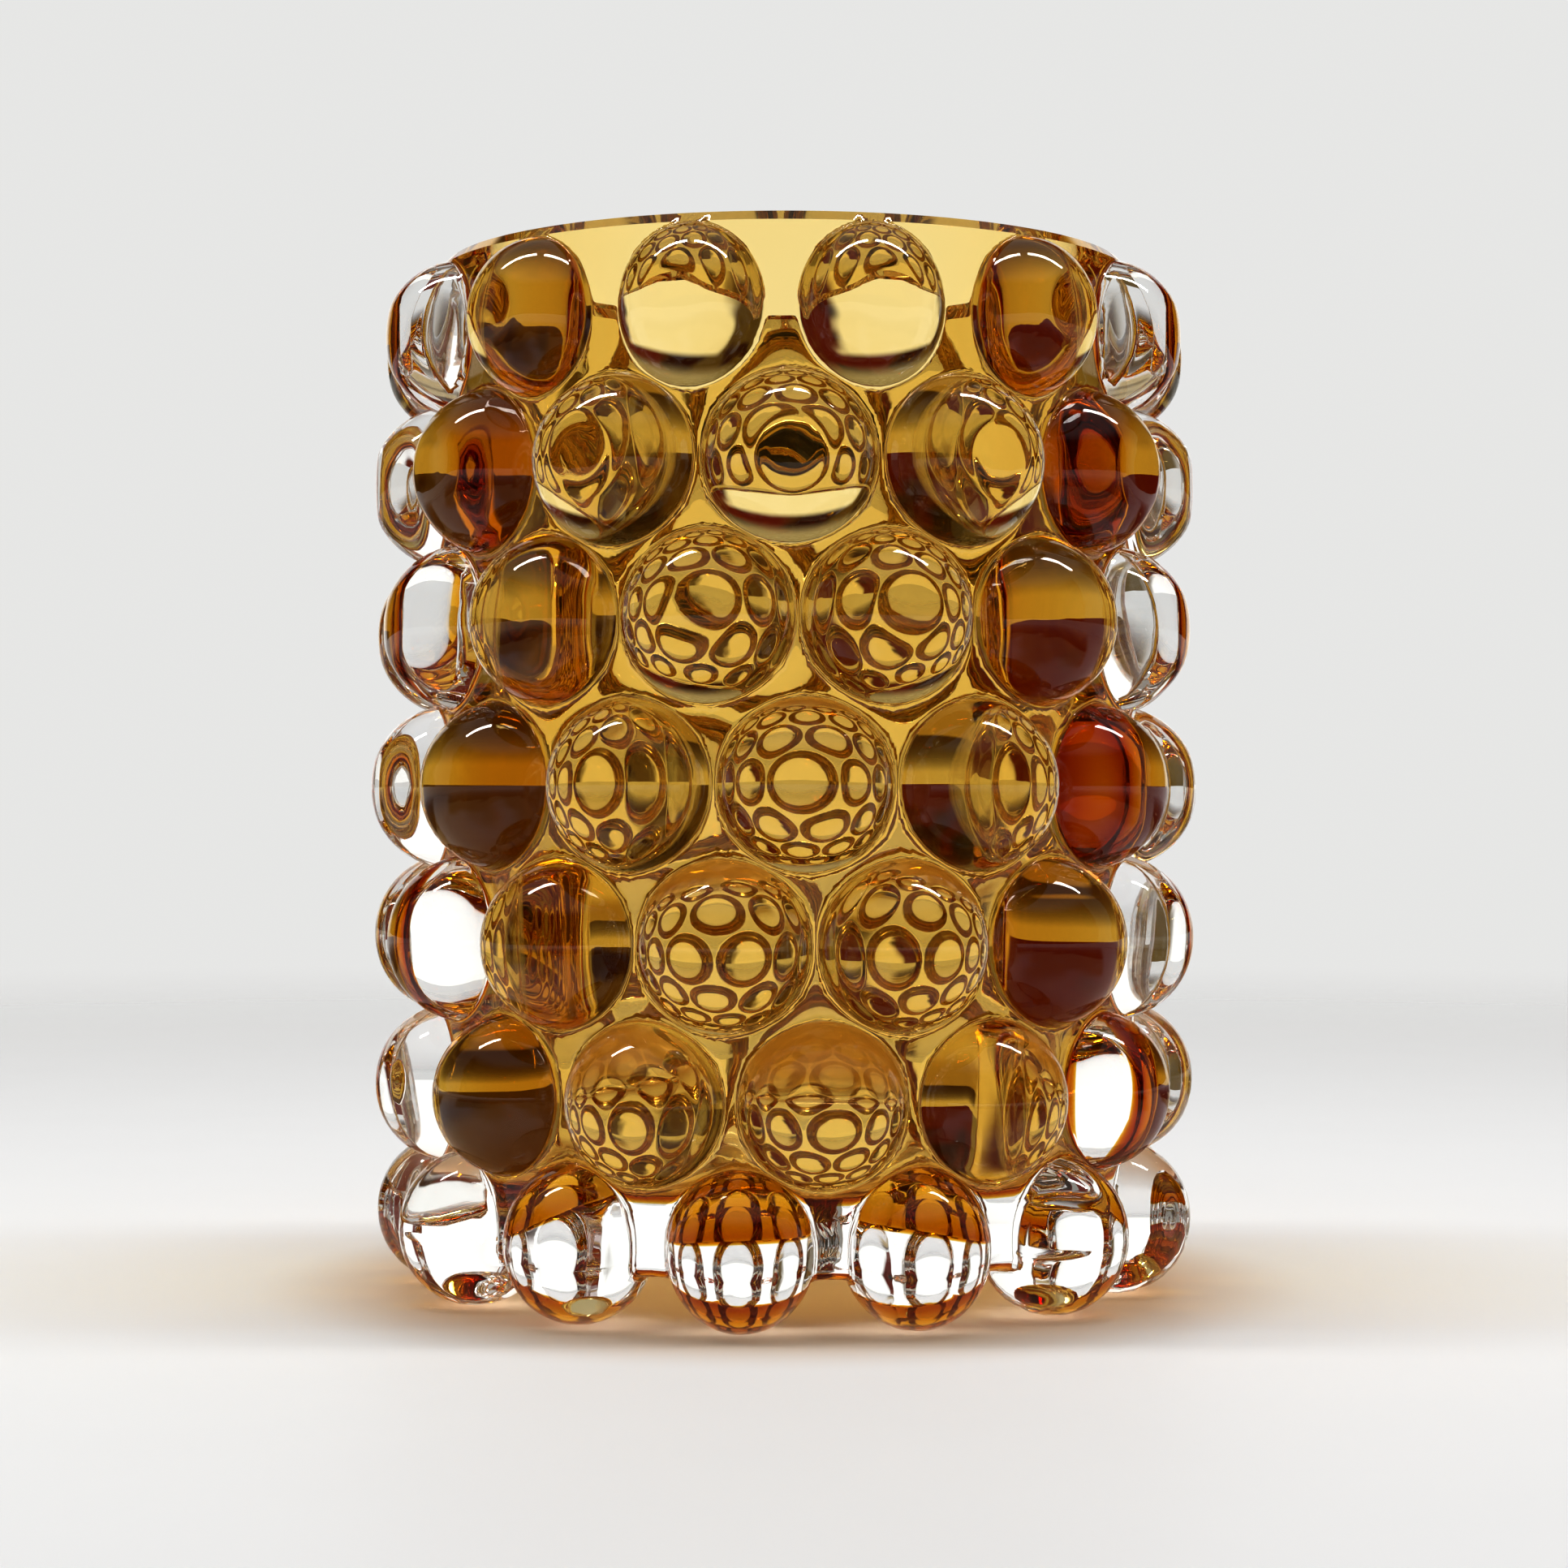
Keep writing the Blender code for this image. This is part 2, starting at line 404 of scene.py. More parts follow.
def well_profile(radius, floor, corner, top):
    """From the middle of the floor, round the corner and up the wall to the top."""
    flat = radius - corner
    points = [(flat * k / FLOOR_STEPS, floor) for k in range(FLOOR_STEPS)]
    points.append((flat - HOLD, floor))
    for k in range(ARC_STEPS + 1):
        angle = math.pi / 2 * k / ARC_STEPS
        points.append((flat + corner * math.sin(angle), floor + corner - corner * math.cos(angle)))
    start = floor + corner + HOLD
    points += [(radius, start + (top - start) * k / WELL_STEPS) for k in range(WELL_STEPS + 1)]
    return points


def glass_column():
    bm = bmesh.new()
    patches = [knob_patch(bm, row) for row in ROWS]
    edge, rim = patches[-1]
    high = [k for k, point in enumerate(edge) if point[2] > PATCH_HIGH - NO_HEIGHT]
    high.sort(key=lambda k: edge[k][0])
    turns = [edge[k][0] for k in high]
    wall_top = [float(math.hypot(*rim[k][:2])) for k in high]
    bevel_top = WALL_RADIUS - RIM_BEVEL
    rim_profile = [(wall_top, PATCH_HIGH), (bevel_top, RIM_HEIGHT), (WELL_RADIUS, RIM_HEIGHT)]
    turned_wedge(bm, turns, rim_profile)
    floor = AMBER_UNDERSIDE + AMBER_THICKNESS
    turned_wedge(bm, turns, well_profile(WELL_RADIUS, floor, WELL_CORNER, RIM_HEIGHT))
    foot = sorted({point[0] for point in patches[0][0] if abs(point[1] - FOOT_RADIUS) < NO_HEIGHT})
    hollow = [(FOOT_RADIUS * k / FLOOR_STEPS, UNDERSIDE) for k in range(FLOOR_STEPS + 1)]
    turned_wedge(bm, foot, hollow)
    bmesh.ops.remove_doubles(bm, verts=bm.verts, dist=WELD)
    return bm


def mesh_object(bm, name):
    mesh = bpy.data.meshes.new(name)
    bm.to_mesh(mesh)
    bm.free()
    obj = bpy.data.objects.new(name, mesh)
    bpy.context.scene.collection.objects.link(obj)
    return obj


clear_glass_body = mesh_object(glass_column(), "clear_glass_body")
print("one column of clear glass has", len(clear_glass_body.data.polygons), "faces")

# %% [markdown]
# ## The amber lining
#
# The colour of the real vase is a thin cup of amber glass, gathered first and then
# cased in clear glass. Where light crosses it once it looks straw yellow, and where
# it runs along it the colour goes to red-brown. So the lining is a real shell with
# depth, held just under the skin of the well, and its colour comes from how much of
# it the light passes through. It is fused to the clear glass, so it bends no light.
# The gather is a little thicker at the rim than lower down, and thinner in the floor.

# %% Wedge of the amber lining
SKIN = 0.05 * MM
AMBER_AT_RIM = 1.1
AMBER_AT_FLOOR = 0.8
LINING_STEPS = 24


def lining_wedge():
    bm = bmesh.new()
    turns = [PLACE * k / LINING_STEPS for k in range(LINING_STEPS + 1)]
    floor = AMBER_UNDERSIDE + AMBER_THICKNESS
    top = RIM_HEIGHT - SKIN
    inner = well_profile(WELL_RADIUS + SKIN, floor - SKIN, WELL_CORNER + SKIN, top)
    radius, corner = WELL_RADIUS + AMBER_THICKNESS, WELL_CORNER + AMBER_THICKNESS
    outer = well_profile(radius, AMBER_UNDERSIDE, corner, top)
    outer = [(r - thinned(r, z), z + lifted(z)) for r, z in outer]
    turned_wedge(bm, turns, outer + inner[::-1])
    bmesh.ops.remove_doubles(bm, verts=bm.verts, dist=WELD)
    return bm


def thinned(radius, height):
    """How much thinner the lining's wall is at this height than at the floor."""
    share = (height - AMBER_UNDERSIDE) / (RIM_HEIGHT - AMBER_UNDERSIDE)
    on_the_wall = 1.0 if radius > WELL_RADIUS else 0.0
    return on_the_wall * share * (1.0 - AMBER_AT_RIM) * AMBER_THICKNESS


def lifted(height):
    """How much thinner the lining's floor is than its wall just above the corner."""
    share = 1.0 - (height - AMBER_UNDERSIDE) / (WELL_CORNER + AMBER_THICKNESS)
    return max(share, 0.0) * (1.0 - AMBER_AT_FLOOR) * AMBER_THICKNESS


amber_lining = mesh_object(lining_wedge(), "amber_lining")
print("one wedge of the lining has", len(amber_lining.data.polygons), "faces")

# %% [markdown]
# ## Polished glass
#
# Both glasses were worked hot and by hand. Their skin has long, shallow ripples, a
# few faint streaks of slightly stronger colour, and rare rubbed spots, so one group
# of nodes makes all three for both materials. Roughness near zero keeps the knobs
# clear enough to show the far wall in them. Lamps shine straight through both glasses,
# dimmed a little at each surface, so that the vase throws a pale amber shadow.

# %% Shader group for hand-worked glass


def hand_worked_glass():
    group = bpy.data.node_groups.new("hand_worked_glass", "ShaderNodeTree")
    face = group.interface
    for name, kind, value in (("Ripple Size", "NodeSocketFloat", 90.0),
                              ("Streak Size", "NodeSocketFloat", 40.0),
                              ("Pale Tint", "NodeSocketColor", (1.0, 1.0, 1.0, 1.0)),
                              ("Deep Tint", "NodeSocketColor", (0.97, 0.98, 0.97, 1.0)),
                              ("Rubbed Roughness", "NodeSocketFloat", 0.02)):
        face.new_socket(name, in_out="INPUT", socket_type=kind).default_value = value
    face.new_socket("Tint", in_out="OUTPUT", socket_type="NodeSocketColor")
    face.new_socket("Ripple Height", in_out="OUTPUT", socket_type="NodeSocketFloat")
    face.new_socket("Polish", in_out="OUTPUT", socket_type="NodeSocketFloat")
    nodes, link = group.nodes, group.links.new
    inputs = nodes.new("NodeGroupInput")
    outputs = nodes.new("NodeGroupOutput")
    place = nodes.new("ShaderNodeTexCoord")

    ripple = nodes.new("ShaderNodeTexNoise")
    ripple.inputs["Detail"].default_value = 1.0
    ripple.inputs["Roughness"].default_value = 0.3
    link(place.outputs["Object"], ripple.inputs["Vector"])
    link(inputs.outputs["Ripple Size"], ripple.inputs["Scale"])
    link(ripple.outputs["Fac"], outputs.inputs["Ripple Height"])

    stretch = nodes.new("ShaderNodeMapping")
    stretch.inputs["Scale"].default_value = (1.0, 1.0, 0.25)
    link(place.outputs["Object"], stretch.inputs["Vector"])
    streak = nodes.new("ShaderNodeTexNoise")
    streak.inputs["Detail"].default_value = 3.0
    streak.inputs["Distortion"].default_value = 0.8
    link(stretch.outputs["Vector"], streak.inputs["Vector"])
    link(inputs.outputs["Streak Size"], streak.inputs["Scale"])
    tint = nodes.new("ShaderNodeMix")
    tint.data_type = "RGBA"
    link(streak.outputs["Fac"], tint.inputs["Factor"])
    link(inputs.outputs["Pale Tint"], tint.inputs[6])
    link(inputs.outputs["Deep Tint"], tint.inputs[7])
    link(tint.outputs[2], outputs.inputs["Tint"])

    rub = nodes.new("ShaderNodeTexNoise")
    rub.inputs["Scale"].default_value = 260.0
    rub.inputs["Detail"].default_value = 4.0
    link(place.outputs["Object"], rub.inputs["Vector"])
    rare = nodes.new("ShaderNodeMapRange")
    rare.inputs["From Min"].default_value = 0.66
    rare.inputs["From Max"].default_value = 0.80
    link(rub.outputs["Fac"], rare.inputs["Value"])
    amount = nodes.new("ShaderNodeMath")
    amount.operation = "MULTIPLY"
    link(rare.outputs["Result"], amount.inputs[0])
    link(inputs.outputs["Rubbed Roughness"], amount.inputs[1])
    link(amount.outputs[0], outputs.inputs["Polish"])
    return group


HAND_WORKED_GLASS = hand_worked_glass()
print("shader group", HAND_WORKED_GLASS.name, "with", len(HAND_WORKED_GLASS.nodes), "nodes")

# %% Clear glass and amber glass
CLEAR_IOR = 1.5
FUSED_IOR = 1.0
RIPPLE_MM = 0.004
FULL_DEPTH = 0.96
AMBER_LAYER_LOSS = (0.085, 0.255, 0.93)
SHADOW_TINT = (0.76, 0.765, 0.77, 1.0)


def glass_material(name, ior, ripple_mm, **values):
    material = bpy.data.materials.new(name)
    material.use_nodes = True
    nodes, link = material.node_tree.nodes, material.node_tree.links.new
    shader = nodes["Principled BSDF"]
    shader.inputs["Transmission Weight"].default_value = 1.0
    shader.inputs["IOR"].default_value = ior
    worked = nodes.new("ShaderNodeGroup")
    worked.node_tree = HAND_WORKED_GLASS
    for socket, value in values.items():
        worked.inputs[socket.replace("_", " ").title()].default_value = value
    link(worked.outputs["Tint"], shader.inputs["Base Color"])
    link(worked.outputs["Polish"], shader.inputs["Roughness"])
    if ripple_mm:
        bump = nodes.new("ShaderNodeBump")
        bump.inputs["Distance"].default_value = ripple_mm * MM
        link(worked.outputs["Ripple Height"], bump.inputs["Height"])
        link(bump.outputs["Normal"], shader.inputs["Normal"])
    through = nodes.new("ShaderNodeBsdfTransparent")
    through.inputs["Color"].default_value = SHADOW_TINT
    shadow = nodes.new("ShaderNodeMixShader")
    link(nodes.new("ShaderNodeLightPath").outputs["Is Shadow Ray"], shadow.inputs["Fac"])
    link(shader.outputs[0], shadow.inputs[1])
    link(through.outputs[0], shadow.inputs[2])
    link(shadow.outputs[0], nodes["Material Output"].inputs["Surface"])
    return material


def colour_by_depth(material, layer_loss):
    """Absorption whose loss across one thickness of the lining is layer_loss, as e**-loss."""
    nodes, link = material.node_tree.nodes, material.node_tree.links.new
    per_metre = [loss / AMBER_THICKNESS for loss in layer_loss]
    density = max(per_metre) / FULL_DEPTH
    depth = nodes.new("ShaderNodeVolumeAbsorption")
    depth.inputs["Color"].default_value = (*(1 - loss / density for loss in per_metre), 1.0)
    depth.inputs["Density"].default_value = density
    link(depth.outputs["Volume"], nodes["Material Output"].inputs["Volume"])


CLEAR_GLASS = glass_material(
    "clear_glass", CLEAR_IOR, RIPPLE_MM,
    deep_tint=(0.965, 0.975, 0.97, 1.0), rubbed_roughness=0.012)
AMBER_GLASS = glass_material(
    "amber_glass", FUSED_IOR, 0.0,
    deep_tint=(0.97, 0.92, 0.84, 1.0), rubbed_roughness=0.0)
colour_by_depth(AMBER_GLASS, AMBER_LAYER_LOSS)
print("light through one layer of amber", [round(math.exp(-loss), 2) for loss in AMBER_LAYER_LOSS])

# %% [markdown]
# ## Thirteen copies round the axis
#
# Geometry Nodes turn the column round the vase's axis. The copies stand on thirteen
# points at the origin, each turned one place further, and are made real and welded.
# Then a slow field of noise, the same for both glasses, moves the wall sideways by a
# tenth of a millimetre or so, which makes no two knobs quite alike, as on the real
# vase. It leaves heights alone, so that the rim and the foot stay flat.

# %% Geometry Nodes: ring of columns


def ring_of_columns():
    tree = bpy.data.node_groups.new("ring_of_columns", "GeometryNodeTree")
    face = tree.interface
    face.new_socket("Geometry", in_out="INPUT", socket_type="NodeSocketGeometry")
    for name, kind, value in (("Columns", "NodeSocketInt", KNOBS_PER_ROW),
                              ("Weld Distance", "NodeSocketFloat", WELD),
                              ("Waviness", "NodeSocketFloat", 0.1 * MM),
                              ("Waves per Metre", "NodeSocketFloat", 30.0),
                              ("Seed", "NodeSocketFloat", 4.0)):
        face.new_socket(name, in_out="INPUT", socket_type=kind).default_value = value
    face.new_socket("Material", in_out="INPUT", socket_type="NodeSocketMaterial")
    face.new_socket("Geometry", in_out="OUTPUT", socket_type="NodeSocketGeometry")
    nodes, link = tree.nodes, tree.links.new
    inputs = nodes.new("NodeGroupInput")
    outputs = nodes.new("NodeGroupOutput")

    points = nodes.new("GeometryNodeMeshLine")
    points.inputs["Offset"].default_value = (0.0, 0.0, 0.0)
    link(inputs.outputs["Columns"], points.inputs["Count"])
    index = nodes.new("GeometryNodeInputIndex")
    place = nodes.new("ShaderNodeMath")
    place.operation = "DIVIDE"
    place.inputs[0].default_value = 2 * math.pi
    link(inputs.outputs["Columns"], place.inputs[1])
    turn = nodes.new("ShaderNodeMath")
    turn.operation = "MULTIPLY"
    link(index.outputs[0], turn.inputs[0])
    link(place.outputs[0], turn.inputs[1])
    about_axis = nodes.new("ShaderNodeCombineXYZ")
    link(turn.outputs[0], about_axis.inputs["Z"])
    copies = nodes.new("GeometryNodeInstanceOnPoints")
    link(points.outputs["Mesh"], copies.inputs["Points"])
    link(inputs.outputs["Geometry"], copies.inputs["Instance"])
    link(about_axis.outputs[0], copies.inputs["Rotation"])
    real = nodes.new("GeometryNodeRealizeInstances")
    link(copies.outputs["Instances"], real.inputs["Geometry"])
    weld = nodes.new("GeometryNodeMergeByDistance")
    link(real.outputs["Geometry"], weld.inputs["Geometry"])
    link(inputs.outputs["Weld Distance"], weld.inputs["Distance"])

    where = nodes.new("GeometryNodeInputPosition")
    noise = nodes.new("ShaderNodeTexNoise")
    noise.noise_dimensions = "4D"
    noise.inputs["Detail"].default_value = 1.0
    link(where.outputs[0], noise.inputs["Vector"])
    link(inputs.outputs["Seed"], noise.inputs["W"])
    link(inputs.outputs["Waves per Metre"], noise.inputs["Scale"])
    centred = nodes.new("ShaderNodeVectorMath")
    centred.operation = "SUBTRACT"
    centred.inputs[1].default_value = (0.5, 0.5, 0.5)
    link(noise.outputs["Color"], centred.inputs[0])
    level = nodes.new("ShaderNodeVectorMath")
    level.operation = "MULTIPLY"
    level.inputs[1].default_value = (2.0, 2.0, 0.0)
    link(centred.outputs[0], level.inputs[0])
    amount = nodes.new("ShaderNodeVectorMath")
    amount.operation = "SCALE"
    link(level.outputs[0], amount.inputs[0])
    link(inputs.outputs["Waviness"], amount.inputs["Scale"])
    wavy = nodes.new("GeometryNodeSetPosition")
    link(weld.outputs["Geometry"], wavy.inputs["Geometry"])
    link(amount.outputs[0], wavy.inputs["Offset"])

    smooth = nodes.new("GeometryNodeSetShadeSmooth")
    link(wavy.outputs["Geometry"], smooth.inputs["Geometry"])
    finish = nodes.new("GeometryNodeSetMaterial")
    link(smooth.outputs["Geometry"], finish.inputs["Geometry"])
    link(inputs.outputs["Material"], finish.inputs["Material"])
    link(finish.outputs["Geometry"], outputs.inputs["Geometry"])
    return tree


RING_OF_COLUMNS = ring_of_columns()
SLIVER = 0.0001 * MM
CRISP_ANGLE = math.radians(20)


def turned_into_ring(obj, **values):
    """Runs the ring's tree on the object and keeps the result as its plain mesh."""
    modifier = obj.modifiers.new("ring", "NODES")
    modifier.node_group = RING_OF_COLUMNS
    face = RING_OF_COLUMNS.interface.items_tree
    sockets = {s.name: s.identifier for s in face if s.in_out == "INPUT"}
    for name, value in values.items():
        modifier[sockets[name.title()]] = value
    evaluated = obj.evaluated_get(bpy.context.evaluated_depsgraph_get())
    mesh = bpy.data.meshes.new_from_object(evaluated)
    obj.modifiers.remove(modifier)
    obj.data = mesh
    mesh.name = obj.name
    bm = bmesh.new()
    bm.from_mesh(mesh)
    bmesh.ops.dissolve_degenerate(bm, edges=bm.edges, dist=SLIVER)
    bmesh.ops.recalc_face_normals(bm, faces=bm.faces)
    loose = sum(1 for e in bm.edges if not e.is_manifold)
    triangles = sum(len(f.verts) - 2 for f in bm.faces)
    millilitres = round(bm.calc_volume() * 1e6, 1)
    print(obj.name, "triangles", triangles, "open edges", loose, "volume", millilitres, "ml")
    for face in bm.faces:
        face.smooth = True
    for e in bm.edges:
        e.smooth = not on_ground_edge(e)
    bm.to_mesh(mesh)
    bm.free()
    return obj


def on_ground_edge(edge):
    """The rim was ground and bevelled cold, so its edges stay crisp."""
    heights = [vert.co.z for vert in edge.verts]
    radius = min(math.hypot(*vert.co.xy) for vert in edge.verts)
    at_rim = min(heights) > RIM_HEIGHT - 2 * SKIN
    off_bevel = max(abs(height - PATCH_HIGH) for height in heights)
    at_bevel = off_bevel < SKIN and radius > WELL_RADIUS + RIM_BEVEL
    sharp = len(edge.link_faces) == 2 and edge.calc_face_angle(0.0) > CRISP_ANGLE
    return sharp and (at_rim or at_bevel)


WAVES = {"columns": KNOBS_PER_ROW, "waviness": 0.12 * MM, "seed": 4.0}
turned_into_ring(clear_glass_body, **WAVES, material=CLEAR_GLASS)
turned_into_ring(amber_lining, **WAVES, material=AMBER_GLASS)

# %% Hand the glass to the frame
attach(clear_glass_body, "root")
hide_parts("clear_casing", *KNOB_NODES)
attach(amber_lining, "root")
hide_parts("amber_well")
print("clear glass stands for", ["clear_casing", *KNOB_NODES])

# %% [markdown]
# ## The table
#
# Glass is judged by what it bends, so its surroundings matter as much as it does.
# The table is a plain pale disc that fades into the pale room before its edge, and
# leaves no hard horizon behind the vase. To light that the glass has bent, it has
# painted shade at the sides: it is painted darker there, and much darker further out,
# though nothing stands on it. Round the foot a pool of amber is painted on it, in place
# of the amber light that comes down through the vase.

# %% Directions round the vase
class RoomNodes:
    """Short ways to add the nodes of the room."""

    def __init__(self, tree):
        self.tree, self.nodes, self.link = tree, tree.nodes, tree.links.new

    def put(self, socket, value):
        if isinstance(value, bpy.types.NodeSocket):
            self.link(value, socket)
        else:
            socket.default_value = value

    def math(self, operation, a, b=0.0):
        node = self.nodes.new("ShaderNodeMath")
        node.operation = operation
        self.put(node.inputs[0], a)
        self.put(node.inputs[1], b)
        return node.outputs[0]

    def ramp(self, value, start, end):
        """Rises smoothly from 0 at start to 1 at end."""
        node = self.nodes.new("ShaderNodeMapRange")
        node.interpolation_type = "SMOOTHSTEP"
        for socket, number in (("Value", value), ("From Min", start), ("From Max", end)):
            self.put(node.inputs[socket], number)
        return node.outputs["Result"]

    def fall(self, value, start, end):
        """Falls smoothly from 1 at start to 0 at end."""
        result = self.ramp(value, start, end)
        result.node.inputs["To Min"].default_value = 1.0
        result.node.inputs["To Max"].default_value = 0.0
        return result

    def noise(self, place, scale, detail=2.0):
        node = self.nodes.new("ShaderNodeTexNoise")
        node.inputs["Scale"].default_value = scale
        node.inputs["Detail"].default_value = detail
        self.link(place, node.inputs["Vector"])
        return node.outputs["Fac"]

    def band(self, value, *edges):
        """1 between the first two and the last two edges, 0 outside them."""
        return self.math("SUBTRACT", self.ramp(value, *edges[:2]), self.ramp(value, *edges[2:]))

    def mix(self, share, a, b):
        node = self.nodes.new("ShaderNodeMix")
        node.data_type = "RGBA"
        self.put(node.inputs["Factor"], share)
        self.put(node.inputs[6], a)
        self.put(node.inputs[7], b)
        return node.outputs[2]


def around_the_vase():
    """Group: how many degrees from straight behind the vase a direction or a place lies."""
    group = bpy.data.node_groups.new("around_the_vase", "ShaderNodeTree")
    group.interface.new_socket("Direction", in_out="INPUT", socket_type="NodeSocketVector")
    group.interface.new_socket("Degrees", in_out="OUTPUT", socket_type="NodeSocketFloat")
    room = RoomNodes(group)
    split = room.nodes.new("ShaderNodeSeparateXYZ")
    room.link(room.nodes.new("NodeGroupInput").outputs["Direction"], split.inputs[0])
    x, y, _ = split.outputs
    squares = [room.math("MULTIPLY", way, way) for way in (x, y)]
    flat = room.math("SQRT", room.math("ADD", *squares))
    behind = room.math("DIVIDE", y, room.math("MAXIMUM", flat, 0.0001))
    degrees = room.math("MULTIPLY", room.math("ARCCOSINE", behind), 180 / math.pi)
    room.link(degrees, room.nodes.new("NodeGroupOutput").inputs["Degrees"])
    return group


AROUND_THE_VASE = around_the_vase()


def degrees_from_behind(room, direction):
    group = room.nodes.new("ShaderNodeGroup")
    group.node_tree = AROUND_THE_VASE
    room.link(direction, group.inputs["Direction"])
    return group.outputs["Degrees"]


print("group", AROUND_THE_VASE.name, "has", len(AROUND_THE_VASE.nodes), "nodes")

# %% Pale table
TABLE_RADIUS = 1.1
TABLE_ROUGHNESS = 0.55
TABLE_SHINE = 0.15
GRAIN_SCALE = 30.0
GRAIN_TINTS = ((0.805, 0.822, 0.838, 1.0), (0.82, 0.837, 0.853, 1.0))
FADE_EDGE = (0.20, 1.0)
# Painted shade: for rays through the glass only, the table's sides are painted darker, and much darker
# further out.
SHADED_BACK_SIDES = (28, 36, 66, 74)
SHADED_FRONT = (96, 104)
SHADE_EDGE = (0.12, 0.20)
SHADED_TABLE = (0.50, 0.41, 0.24, 1.0)
DARK_EDGE = (0.26, 0.29)
PAINTED_FAR_SHADE = (0.060, 0.030, 0.012, 1.0)
SHADE_WANDER_SCALE = 5.0
SHADE_WANDER = 0.5
# Painted light: an amber pool round the foot, in place of the light that comes down through the vase.
PAINTED_AMBER_EDGE = (0.048, 0.078)
PAINTED_AMBER_LIGHT = (0.60, 0.47, 0.35, 1.0)


def pale_table():
    bm = bmesh.new()
    bmesh.ops.create_circle(bm, segments=96, radius=TABLE_RADIUS, cap_ends=True)
    table = mesh_object(bm, "table")
    material = bpy.data.materials.new("pale_table")
    material.use_nodes = True
    room = RoomNodes(material.node_tree)
    nodes, link = room.nodes, room.link
    shader = nodes["Principled BSDF"]
    shader.inputs["Roughness"].default_value = TABLE_ROUGHNESS
    shader.inputs["Specular IOR Level"].default_value = TABLE_SHINE
    place = nodes.new("ShaderNodeTexCoord").outputs["Object"]
    colour = room.mix(room.noise(place, GRAIN_SCALE), *GRAIN_TINTS)
    length = nodes.new("ShaderNodeVectorMath")
    length.operation = "LENGTH"
    link(place, length.inputs[0])
    length = length.outputs["Value"]
    degrees = degrees_from_behind(room, place)
    # Painted shade at the sides, seen only through the glass; nothing stands on the table there.
    beside = room.math("ADD", room.band(degrees, *SHADED_BACK_SIDES), room.ramp(degrees, *SHADED_FRONT))
    direct = nodes.new("ShaderNodeLightPath").outputs["Is Camera Ray"]
    beside = room.math("MULTIPLY", beside, room.math("SUBTRACT", 1.0, direct))
    shade_edge_wander = room.math("SUBTRACT", room.noise(place, SHADE_WANDER_SCALE), 0.5)
    reach = room.math("ADD", length, room.math("MULTIPLY", shade_edge_wander, SHADE_WANDER))
    near = room.math("MULTIPLY", beside, room.ramp(reach, *SHADE_EDGE))
    colour = room.mix(near, colour, SHADED_TABLE)
    far = room.math("MULTIPLY", beside, room.ramp(reach, *DARK_EDGE))
    colour = room.mix(far, colour, PAINTED_FAR_SHADE)
    # Painted amber light round the foot.
    colour = room.mix(room.fall(length, *PAINTED_AMBER_EDGE), colour, PAINTED_AMBER_LIGHT)
    link(colour, shader.inputs["Base Color"])
    link(room.fall(length, *FADE_EDGE), shader.inputs["Alpha"])
    table.data.materials.append(material)
    table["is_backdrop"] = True
    return table


table = pale_table()
print("table radius", TABLE_RADIUS, "m")

# %% [markdown]
# ## Room and lamps
#
# Clear glass is lit by its background. A bright sweep behind it shines through the
# middle, and darker walls at the sides are bent into the outer knobs, where they
# give the wine-dark half-moons. The world is a room made of directions: bright
# behind, dark at both back corners, a dim window square to each side, nearly black
# in front so that no reflection veils the colours, a pale ceiling, and the table's
# colour below the horizon. What the eye meets directly is one even pale tone. Two
# long tube lamps overhead draw the thin bright arcs on the knobs.

# %% Room
BACKGROUND = (0.84, 0.84, 0.832, 1.0)
BACK_WALL = (1.14, 1.14, 1.11, 1.0)
SIDE_WINDOW = (0.34, 0.33, 0.30, 1.0)
CEILING = (0.54, 0.53, 0.51, 1.0)
BELOW = (0.80, 0.80, 0.79, 1.0)
LEFT_CORNER = (0.150, 0.100, 0.030, 1.0)
RIGHT_CORNER = (0.150, 0.020, 0.012, 1.0)
DEEP_SHADE = (0.040, 0.010, 0.006, 1.0)
FRONT = (0.030, 0.028, 0.025, 1.0)
CLUTTER_SCALE = 2.2
CLUTTER_SHIFT = 40.0
SIDE_SPLIT = 0.1
DEEP_SHADE_EDGE = (0.52, 0.62)
FRONT_EDGE = (115, 145)
WINDOW_EDGES = (68, 73, 97, 102)
CEILING_EDGE = (0.60, 0.80)
SWEEP_EDGE = (35, 28)
SWEEP_TOP = (0.56, 0.50)


